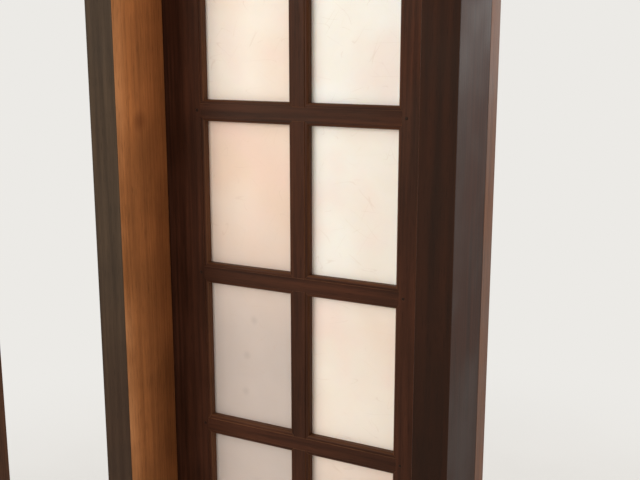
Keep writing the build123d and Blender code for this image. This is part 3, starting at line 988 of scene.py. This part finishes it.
@dataclass
class PaperSheets(SubAssembly):
    """The twelve translucent sheets, each a little cockled between the bars that hold it.

    Attributes:
        finish: The paper.
        hidden: How far a sheet reaches behind the bars.
        thickness: Of a sheet.
        cockle: How far it waves in and out.
        waves: How often each wave comes, from side to side and from bottom to top.
        phase_step: How much further on in the waves each row is.
        across: Points from side to side.
        up: Points from bottom to top.
        columns: What sets the sheets of each column apart.
        smudges: Dull spots, as places in the plane of the leaf.
    """

    finish: PaperLaminate = PaperLaminate()
    hidden: float = 7.5 * MM
    thickness: float = 2.6 * MM
    cockle: float = 0.35 * MM
    waves: tuple[tuple[float, float], ...] = ((1.3, 0.4), (0.6, -2.1), (2.4, 1.1))
    phase_step: float = 0.37
    across: int = 28
    up: int = 42
    columns: dict[str, Column] = field(
        default_factory=lambda: {
            "left": Column((0.5, 0.6, 0.8, 0.9, 0.55, 0.4), Ramp(0.9, 1.32, 1.0, 0.0), 1.32),
            "right": Column((0.8, 0.75, 0.55, 0.3, 0.05, 0.0), Ramp(0.45, 0.86, 1.0, 0.0), 0.86),
        }
    )
    smudges: tuple[Point, ...] = ((-0.112, 0.015, 1.010), (-0.130, 0.015, 0.934), (-0.134, 0.015, 0.856))

    def sheet(self, low: np.ndarray, high: np.ndarray, phase: float) -> Patch:
        """One sheet's front: crossing waves, stilled towards the edges.

        The depth at (u, v) is the front plus the cockle times sin(pi u) sin(pi v) times the mean of the
        waves. Wave n is sin(2 pi (a u + b v + n phase)), where a and b say how often it comes.

        Args:
            low: The lowest corner of the node.
            high: The highest corner of the node.
            phase: Which part of the waves it gets.

        Returns:
            The front, with its chart measured from the daylight's upper left corner, to the right and down.
        """
        u, v = np.meshgrid(np.linspace(0, 1, self.across), np.linspace(0, 1, self.up), indexing="ij")
        waves = [
            np.sin(2 * np.pi * (across * u + up * v + number * phase))
            for number, (across, up) in enumerate(self.waves, start=1)
        ]
        still = np.sin(np.pi * u) * np.sin(np.pi * v)
        x = low[0] + u * (high[0] - low[0])
        z = low[2] + v * (high[2] - low[2])
        y = low[1] + self.cockle * still * np.mean(waves, axis=0)
        chart = np.stack([x - low[0] - self.hidden, high[2] - z - self.hidden], axis=-1)
        return grid_patch(np.stack([x, y, z], axis=-1), chart)

    def build(self) -> list[Piece]:
        """Makes a sheet for each pane, whose front looks forwards and whose thickness goes to the back.

        Returns:
            The sheets.
        """
        made = []
        for column, sheets in self.columns.items():
            for row, yellowed in enumerate(sheets.yellowed, start=1):
                node = f"pane_{column}_{row}"
                low, high = corners_of(node)
                near = [
                    spot for spot in self.smudges if low[0] < spot[0] < high[0] and low[2] < spot[2] < high[2]
                ]
                finish = self.finish.material(node, yellowed, sheets.paper_shade, near)
                front = self.sheet(low, high, sheets.phase + self.phase_step * row)
                piece = add_piece(f"paper_{column}_{row}", front, finish)
                if piece.data.polygons[0].normal.y > 0:
                    piece.data.flip_normals()
                add_modifier(piece, "SOLIDIFY", thickness=self.thickness, offset=-1)
                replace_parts(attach(piece, "leaf"), node)
                made.append(piece)
        return made


@dataclass
class GlazingBeads(SubAssembly):
    """Mitred strips that hold each sheet from behind, with their small pins.

    Attributes:
        finish: Their wood.
        pin_finish: The pins' metal.
        width: Of a strip.
        rounding: The radius of a strip's inner edge.
        arc_points: Points round that edge.
        gap: How far short of the mitre each end stops.
        heart: Where a strip lies, counted from the heart of its tree.
        pin_radius: Of a pin's head.
        pin_crown: How high the head is, as a share of its radius.
        pin_pitch: About how far apart the pins are.
        pin_points: Points from a head's middle to its rim.
        pin_sides: Points round a head.
    """

    finish: Wood
    pin_finish: Material
    width: float = 8 * MM
    rounding: float = 4 * MM
    arc_points: int = 7
    gap: float = 0.15 * MM
    heart: Point = (20 * MM, 30 * MM, 0.0)
    pin_radius: float = 0.8 * MM
    pin_crown: float = 0.4
    pin_pitch: float = 90 * MM
    pin_points: int = 4
    pin_sides: int = 8

    def strip(self, length: float, depth: float, number: int) -> Patch:
        """One strip: its section carried along, with each station drawn back by how far inwards it lies.

        The section goes from the outer front corner round the inner side, whose rear edge is a quarter
        circle, to the outer rear corner. A point at the share s of the way lies s (length / 2 - inwards)
        from the middle, which mitres both ends at 45 degrees.

        Args:
            length: Of its outer edge.
            depth: From its front to its back.
            number: Which strip it is, so that each has its own figure.

        Returns:
            The strip along X, with Y inwards and Z to the back.
        """
        turn = np.linspace(0, math.pi / 2, self.arc_points)
        inner = self.width - self.rounding + self.rounding * np.cos(turn)
        back = depth - self.rounding * (1 - np.sin(turn))
        section = np.concatenate([[[0, 0], [self.width, 0]], np.stack([inner, back], axis=1), [[0, depth]]])
        centre = np.repeat(section.mean(axis=0)[None], len(section), axis=0)
        shares = [-1.0, -1.0, 0.0, 1.0, 1.0]
        rings = [centre, section, section, section, centre]
        reach = length / 2 - self.gap
        around = np.cumsum(np.linalg.norm(np.diff(section, axis=0, append=section[:1]), axis=1))
        points = [np.column_stack([s * (reach - ring[:, 0]), ring]) for s, ring in zip(shares, rings)]
        chart = [np.column_stack([line[:, 0] + number, around]) for line in points]
        return grid_patch(np.stack(points), np.stack(chart), wraps=True)

    def pins(self, length: float, depth: float) -> list[Patch]:
        """The heads of the pins along a strip.

        A head is a dome: its profile is (r sin a, h cos a), turned about the pin.

        Args:
            length: Of the strip.
            depth: From the strip's front to its back, where the heads are.

        Returns:
            One patch for each head, in the strip's own directions.
        """
        count = max(2, round(length / self.pin_pitch))
        places = (np.arange(count) + 0.5) / count * length - length / 2
        turn = np.linspace(0, math.pi / 2, self.pin_points)
        profile = [self.pin_radius * np.sin(turn), self.pin_crown * self.pin_radius * np.cos(turn)]
        dome = revolved(np.column_stack(profile), self.pin_sides)
        inwards = (self.width - self.rounding) / 2
        return [carried(dome, np.eye(3), (along, inwards, depth)) for along in places]

    def build(self) -> list[Piece]:
        """Makes the four strips of each pane as one piece, and all the pins as another.

        Returns:
            The pieces.
        """
        made, heads = [], []
        wood = self.finish.material("beads", Grain.CHARTED, self.heart)
        for column in COLUMNS:
            for row in range(1, ROWS + 1):
                node = f"beads_{column}_{row}"
                low, high = corners_of(node)
                middle, half = (low + high) / 2, (high - low) / 2
                strips = []
                for number, side in enumerate(Side):
                    along, inwards = (np.array(direction) for direction in side.value)
                    place = np.array([middle[0], low[1], middle[2]]) - inwards * half
                    length, depth = 2 * float(np.abs(along) @ half), high[1] - low[1]
                    axes = [along, inwards, (0, 1, 0)]
                    strip = self.strip(length, depth, len(Side) * row + number)
                    strips.append(carried(strip, axes, place))
                    heads += [carried(pin, axes, place) for pin in self.pins(length, depth)]
                piece = add_piece(f"glazing_beads_{column}_{row}", joined(strips), wood)
                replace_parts(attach(piece, "leaf"), node)
                made.append(piece)
        pins = add_piece("bead_pins", joined(heads), self.pin_finish)
        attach(pins, "leaf")
        return made + [pins]


@dataclass
class Pegs(SubAssembly):
    """The eight-sided pegs that pin the tenons, trimmed to a low crown.

    Attributes:
        finish: Their wood.
        sides: How many flats a peg has.
        crown: How far a peg's end stands proud in the middle.
        bevel: How far its edge is cut back.
        brow: The point where the crown bends down, as shares of the radius and of the crown's height.
    """

    finish: Material
    sides: int = 8
    crown: float = 0.3 * MM
    bevel: float = 0.35 * MM
    brow: tuple[float, float] = (0.6, 0.7)

    def peg(self, length: float, radius: float) -> Patch:
        """One peg: a profile of revolution with few sides and a crown at both ends.

        Args:
            length: From edge to edge.
            radius: Out to its corners.

        Returns:
            The peg along Z, with its first edge at the height of the origin.
        """
        out, up = self.brow[0] * radius, self.brow[1] * self.crown
        rings = [
            (0, -self.crown), (out, -up), (radius - self.bevel, 0), (radius, self.bevel),
            (radius, length - self.bevel), (radius - self.bevel, length), (out, length + up),
            (0, length + self.crown),
        ]
        return revolved(np.array(rings), self.sides)

    def build(self) -> list[Piece]:
        """Makes all the pegs as one piece, each in the place of its solid.

        Returns:
            The piece.
        """
        pegs = []
        for low, high in solids_of("tenon_pegs", 1):
            flat = (high[0] - low[0]) / 2
            peg = self.peg(high[1] - low[1], flat / math.cos(math.pi / self.sides))
            place = ((low[0] + high[0]) / 2, low[1], (low[2] + high[2]) / 2)
            pegs.append(carried(peg, [(1, 0, 0), (0, 0, 1), (0, 1, 0)], place))
        piece = add_piece("pegs", joined(pegs), self.finish, sharp_angle=25)
        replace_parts(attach(piece, "leaf"), "tenon_pegs")
        return [piece]


@dataclass
class FingerPull(SubAssembly):
    """A pressed cup with a rounded lip and a flat flange.

    Attributes:
        node: The node that it stands for.
        inwards: 1 if it is let in towards +Y, and -1 towards -Y.
        finish: Its metal.
        corner: The radius of its outer corners.
        flange: How wide its flange is.
        lip: How far it stands proud.
        wall: How thick the metal is.
        bend: The radius between the cup's wall and its floor.
        edge: How far the lip's edges are rounded.
        corner_points: Points round each corner of its outline.
        bend_points: Points round each bend of its section.
    """

    node: str
    inwards: int
    finish: Material
    corner: float = 6 * MM
    flange: float = 2 * MM
    lip: float = 1 * MM
    wall: float = 1 * MM
    bend: float = 2 * MM
    edge: float = 0.4 * MM
    corner_points: int = 9
    bend_points: int = 7

    def outline(self, half: tuple[float, float], inset: float) -> np.ndarray:
        """A rounded rectangle, drawn in by an inset: four corner arcs joined by straight sides.

        Args:
            half: Half its width and half its height.
            inset: How far inside the outer edge it runs.

        Returns:
            The points of the four arcs, as n by 2. Where the inset takes the whole width, they lie on a line.
        """
        radius = max(self.corner - inset, 0.0)
        core = np.maximum(np.array(half) - inset - radius, 0.0)
        turn = np.linspace(0, math.pi / 2, self.corner_points)
        arcs = []
        for quarter, signs in enumerate(((1, 1), (-1, 1), (-1, -1), (1, -1))):
            angle = turn + quarter * math.pi / 2
            arcs.append(core * signs + radius * np.stack([np.cos(angle), np.sin(angle)], axis=1))
        return np.concatenate(arcs)

    def rounding(self, inset: float, depth: float, radius: float, start: float) -> list[tuple[float, float]]:
        """A quarter turn of the section, in which the angle falls by 90 degrees.

        A point is the centre plus the radius times the cosine, in the inset, and the sine, in depth.

        Args:
            inset: The centre's inset.
            depth: The centre's depth.
            radius: Of the turn.
            start: The angle that it starts from, in degrees, from the inset's direction towards the depth's.

        Returns:
            Its points, as inset and depth.
        """
        angles = np.radians(start - np.linspace(0, 90, self.bend_points))
        return [(inset + radius * math.cos(a), depth + radius * math.sin(a)) for a in angles]

    def build(self) -> list[Piece]:
        """Makes the cup: the outline at each inset and depth of its section, from floor to floor.

        Returns:
            The piece.
        """
        low, high = corners_of(self.node)
        half = ((high[0] - low[0]) / 2, (high[2] - low[2]) / 2)
        deep = high[1] - low[1] - self.lip
        inner = self.flange + self.wall
        floor = deep - self.wall
        section = [(half[0], floor)]
        section += self.rounding(inner + self.bend, floor - self.bend, self.bend, 90)
        section += [(inner, 0.0)]
        section += self.rounding(inner - self.edge, self.edge - self.lip, self.edge, 0)
        section += self.rounding(self.edge, self.edge - self.lip, self.edge, -90)
        section += [(0.0, 0.0), (self.flange, 0.0), (self.flange, floor), (inner, deep), (half[0], deep)]
        rings = [np.insert(self.outline(half, inset), 2, depth, axis=1) for inset, depth in section]
        points = np.stack(rings)
        patch = grid_patch(points, points[:, :, :2], wraps=True)
        face = low[1] + self.lip if self.inwards > 0 else high[1] - self.lip
        place = ((low[0] + high[0]) / 2, face, (low[2] + high[2]) / 2)
        cup = carried(patch, [(1, 0, 0), (0, 0, 1), (0, self.inwards, 0)], place)
        piece = add_piece(self.node.replace("finger_pull", "pull_cup"), cup, self.finish)
        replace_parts(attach(piece, "leaf"), self.node)
        return [piece]


@dataclass
class Screws(SubAssembly):
    """Countersunk wood screws with a cross recess and a coarse thread.

    Attributes:
        node: The node that they stand for.
        body: What they move with.
        axis: The axis that they lie along, 0 to 2.
        points: 1 if they are driven towards the axis's higher end, and -1 towards its lower.
        head: The head's radius.
        shank: The shank's radius.
        finish: Their metal.
        pitch: From one turn of the thread to the next.
        rim: How high the head's edge is, as a share of its radius.
        recess: How far out and how deep the recess goes, as a share of the head's radius.
        arm: Half the width of its arms, as a share of the head's radius.
        flat: Where the head is flat again past the recess, as a share of its radius.
        plain: How much of the length has no thread below the head.
        core: The thread's inner radius, as a share of the shank's.
        end: The radius past the thread, as a share of the shank's.
        sides: Points round a screw.
        recess_points: Points from the head's middle to past the recess.
        turn_points: Points along each turn of the thread.
    """

    node: str
    body: str
    axis: int
    points: int
    head: float
    shank: float
    finish: Material
    pitch: float = 2.2 * MM
    rim: float = 0.03
    recess: float = 0.6
    arm: float = 0.13
    flat: float = 0.62
    plain: float = 0.3
    core: float = 0.82
    end: float = 0.6
    sides: int = 24
    recess_points: int = 9
    turn_points: int = 4

    def screw(self, length: float) -> Patch:
        """One screw: a profile of revolution with a recess in its head and a thread round its shank.

        The recess lowers the head by a depth that falls off from the middle, within the four arms.
        The thread swells the shank by a tooth where the turns and the height are in step. It stops a
        shank's width before the end.

        Args:
            length: From the head's face to the end.

        Returns:
            The screw along Z, with its head's face at the origin.
        """
        neck = self.head - self.shank
        top = neck + self.plain * length
        tip = length - 2 * self.shank
        shares = [*np.linspace(0, self.flat, self.recess_points), 1 - self.rim]
        profile = [(self.head * share, 0.0) for share in shares]
        profile += [(self.head, self.rim * self.head), (self.shank, neck)]
        turns = np.arange(top, tip, self.pitch / self.turn_points)
        profile += [(self.core * self.shank, z) for z in turns]
        profile += [(self.end * self.shank, tip + self.end * self.shank), (0, length)]
        radius, height = np.split(np.array(profile), 2, axis=1)
        angles = ring_angles(self.sides)
        from_arm = np.minimum(abs(radius * np.sin(angles)), abs(radius * np.cos(angles)))
        in_arms = (from_arm < self.arm * self.head) & (height <= 0)
        deep = self.recess * self.head * np.clip(1 - radius / (self.recess * self.head), 0, 1)
        tooth = np.abs((height / self.pitch - angles / (2 * math.pi)) % 1 - 0.5) * 2
        swell = (1 - self.core) * self.shank * np.clip(1 - 2 * tooth, 0, 1)
        spread = radius + np.where((height >= top) & (height < tip), swell, 0.0)
        sunk = height + np.where(in_arms, deep, 0.0)
        points = np.stack([spread * np.cos(angles), spread * np.sin(angles), sunk], axis=-1)
        return grid_patch(points, np.stack([height + 0 * angles, spread * angles], axis=-1), wraps=True)

    def build(self) -> list[Piece]:
        """Makes all the screws as one piece, each in the place of its solid.

        Returns:
            The piece.
        """
        axes = [np.roll((1, 0, 0), self.axis + 1), np.roll((1, 0, 0), self.axis + 2)]
        axes.append(np.roll((1, 0, 0), self.axis) * self.points)
        screws = []
        for low, high in solids_of(self.node, self.axis):
            place = (low + high) / 2
            place[self.axis] = low[self.axis] if self.points > 0 else high[self.axis]
            screws.append(carried(self.screw(high[self.axis] - low[self.axis]), axes, place))
        piece = add_piece(f"cross_{self.node}", joined(screws), self.finish)
        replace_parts(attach(piece, self.body), self.node)
        return [piece]


@dataclass
class Rollers(SubAssembly):
    """The rail, and the wheels, axles and housings that run on it.

    Attributes:
        brass: The finish of the rail and the wheels.
        steel: The finish of the housings and the axles.
        rounding: How far their edges are broken.
    """

    brass: Material
    steel: Material
    rounding: float = 0.25 * MM

    def dress(self) -> list[Piece]:
        """Finishes the rail and both rollers.

        Returns:
            Their objects.
        """
        nodes = {"sill_rail": self.brass}
        for side in ("left", "right"):
            nodes[f"roller_wheel_{side}"] = self.brass
            nodes[f"roller_axle_{side}"] = self.steel
            nodes[f"roller_housing_{side}"] = self.steel
        return [finish_metal(node, metal, self.rounding) for node, metal in nodes.items()]


# Studio


@dataclass(frozen=True)
class Lamp:
    """A square soft light.

    Attributes:
        name: Its name.
        place: Where it hangs.
        aim: What it is turned to.
        size: The length of its sides.
        watts: Its power.
        colour: Its light.
    """

    name: str
    place: Point
    aim: Point
    size: float
    watts: float
    colour: str = "#FFFFFF"

    def hang(self) -> None:
        """Puts the light into the scene."""
        light = bpy.data.lights.new(self.name, "AREA")
        light.size, light.energy, light.color = self.size, self.watts, linear(self.colour)[:3]
        lamp = bpy.data.objects.new(self.name, light)
        lamp.location = self.place
        lamp.rotation_euler = (Vector(self.aim) - Vector(self.place)).to_track_quat("-Z", "Y").to_euler()
        lamp.visible_camera = False
        bpy.context.scene.collection.objects.link(lamp)


@dataclass
class Studio:
    """A pale floor and background, soft lights all round, and the camera.

    Attributes:
        background: The background's colour.
        floor: The floor's colour.
        white: The colour of the light from all sides.
        ambient: How much of it there is.
        mottle_mm: The size of the floor's faint patches.
        mottle: From the patches to how light its colour is.
        fade: From the distance to the origin to how much of the background's colour the floor has.
        floor_rings: The radii of the floor's rings of points.
        floor_sides: Points in each ring.
        camera_place: Where the photograph was taken from.
        camera_down: How far the camera looks down, in radians.
        camera_left: How far it is turned to the left of +Y, in radians.
        focal_mm: The lens.
        sensor_mm: The width of the sensor.
        lamps: The lights.
    """

    background: str = "#ECEAE6"
    floor: str = "#D3D0CB"
    white: str = "#FFFFFF"
    ambient: float = 0.5
    mottle_mm: float = 400
    mottle: Ramp = Ramp(0.3, 0.7, 0.985, 1.01)
    fade: Ramp = Ramp(1.2, 2.8)
    floor_rings: tuple[float, ...] = (0.0, 2.0, 8.0, 40.0)
    floor_sides: int = 48
    camera_place: Point = (0.8431, -1.5176, 1.5563)
    camera_down: float = 0.2088
    camera_left: float = 0.4839
    focal_mm: float = 52.56
    sensor_mm: float = 36
    lamps: tuple[Lamp, ...] = (
        Lamp("window_left", (-2.1, -3.3, 2.4), (0, 0, 1.2), 2.4, 100),
        Lamp("side_right", (3.0, -0.75, 1.7), (-0.3, -0.08, 1.2), 1.2, 65),
        Lamp("rear", (1.2, 3.4, 2.6), (0, 0, 1.1), 2.4, 62),
        Lamp("rear_left", (-3.0, 1.8, 2.2), (-0.2, 0, 1.0), 1.8, 35),
    )

    def seen(self, tree: Tree) -> Socket:
        """Tells the rays that are to find the background from those that carry light.

        Args:
            tree: The material's or the world's nodes.

        Returns:
            1 for rays of the camera, of reflections and through glass, and 0 for all others.
        """
        kinds = ("Camera", "Glossy", "Transmission")
        camera, glossy, through = (add_node(tree, "LightPath", output=f"Is {kind} Ray") for kind in kinds)
        either = add_node(tree, "Math", (camera, glossy), operation="MAXIMUM")
        return add_node(tree, "Math", (either, through), operation="MAXIMUM")

    def make_world(self) -> None:
        """Lights the scene evenly, and shows the background's colour."""
        world = bpy.data.worlds.new("studio")
        world.use_nodes = True
        tree = world.node_tree
        tree.nodes.clear()
        light = add_node(tree, "Background", {"Color": linear(self.white), "Strength": self.ambient})
        shown = add_node(tree, "Background", {"Color": linear(self.background), "Strength": 1.0})
        mixed = add_node(tree, "MixShader", (self.seen(tree), light, shown))
        add_node(tree, "OutputWorld", {"Surface": mixed})
        bpy.context.scene.world = world

    def make_floor(self) -> None:
        """Lays a round floor that fades into the background: (r cos a, r sin a, 0)."""
        material, tree = new_material("studio_floor")
        place = add_node(tree, "TexCoord", output="Object")
        away = add_node(tree, "VectorMath", (place,), "Value", operation="LENGTH")
        uneven = {"Vector": place, "Scale": 1 / (self.mottle_mm * MM), "Detail": 3}
        patchy = add_node(tree, "TexNoise", uneven)
        light = add_node(tree, "MapRange", (patchy, *self.mottle), **SMOOTH)
        shaded = {"Vector": linear(self.floor)[:3], "Scale": light}
        colour = add_node(tree, "VectorMath", shaded, operation="SCALE")
        plain = add_node(tree, "BsdfPrincipled", {"Base Color": colour, "Roughness": 0.85})
        shown = add_node(tree, "Emission", {"Color": linear(self.background), "Strength": 1.0})
        far = add_node(tree, "MapRange", (away, *self.fade), **SMOOTH)
        faded = add_node(tree, "Math", (self.seen(tree), far), operation="MULTIPLY")
        surface = add_node(tree, "MixShader", (faded, plain, shown))
        add_node(tree, "OutputMaterial", {"Surface": surface})
        rings = np.column_stack([self.floor_rings, np.zeros(len(self.floor_rings))])
        add_piece("floor", revolved(rings, self.floor_sides), material)

    def set_camera(self) -> None:
        """Sets the camera where the photograph's was, above the floor and to the right of the doorway."""
        lens = bpy.data.cameras.new("camera")
        lens.sensor_width, lens.lens = self.sensor_mm, self.focal_mm
        camera = bpy.data.objects.new("camera", lens)
        camera.location = self.camera_place
        camera.rotation_euler = (math.pi / 2 - self.camera_down, 0, self.camera_left)
        bpy.context.scene.collection.objects.link(camera)
        bpy.context.scene.camera = camera

    def build(self) -> None:
        """Sets up the whole studio."""
        bpy.context.scene.view_settings.view_transform = "Standard"
        self.make_world()
        self.make_floor()
        for lamp in self.lamps:
            lamp.hang()
        self.set_camera()


def screen_parts() -> list[SubAssembly]:
    """All the parts of the screen, in the order in which they are made.

    Returns:
        The sub-assemblies.
    """
    brass, steel = BRASS.material(), STEEL.material()
    # The right jamb's faces, apart from its face into the doorway, and its arrises get much darker colours
    # than the left one's: painted shade, as that jamb stands in shadow.
    shaded = replace(
        LINING, inward=(-1.0, 0.0, 0.0), shaded_dark="#1D0D07", shaded_light="#2D150B", rubbed="#4A2A1A",
        low_shade="#160803",
    )
    lining = {
        "jamb_left": (replace(LINING, knots=((-0.3, -0.085, 1.408),)), Grain.STANDING),
        "jamb_right": (shaded, Grain.STANDING),
        "lining_head": (replace(LINING, inward=(0.0, 0.0, -1.0)), Grain.LYING),
        "lining_sill": (replace(LINING, inward=(0.0, 0.0, 1.0)), Grain.LYING),
    }
    tracks = dict.fromkeys(["strike_post", "end_post"], (TRACK_WOOD, Grain.STANDING))
    tracks |= dict.fromkeys(["head_track", "sill_track"], (TRACK_WOOD, Grain.LYING))
    leaf = dict.fromkeys(["stile_left", "stile_right", "upright_bar"], (STAINED, Grain.STANDING))
    leaf |= dict.fromkeys(["top_rail", "bottom_rail"], (STAINED, Grain.LYING))
    leaf |= dict.fromkeys([f"cross_bar_{row}" for row in range(1, ROWS)], (STAINED, Grain.LYING))
    return [
        Carcass(lining),
        Carcass(tracks, first=10),
        Carcass(leaf, first=20),
        PaperSheets(),
        GlazingBeads(BEAD_WOOD, steel),
        Pegs(PEG_WOOD.material("pegs", Grain.CHARTED, (0, 0, 0))),
        FingerPull("finger_pull_front", 1, brass),
        FingerPull("finger_pull_back", -1, brass),
        Rollers(brass, steel),
        Screws("frame_screws", "frame", axis=1, points=-1, head=5 * MM, shank=2.5 * MM, finish=steel),
        Screws("roller_screws", "leaf", axis=2, points=1, head=3.4 * MM, shank=1.6 * MM, finish=steel),
    ]


def main() -> None:
    """Builds and dresses every part in order, reports each piece, and sets up the studio."""
    logging.basicConfig(level=logging.INFO, format="%(name)s: %(message)s")
    for part in screen_parts():
        for piece in part.build() + part.dress():
            log.info("%s: %d faces", piece.name, len(piece.data.polygons))
    Studio().build()


if __name__ == "__main__":
    main()
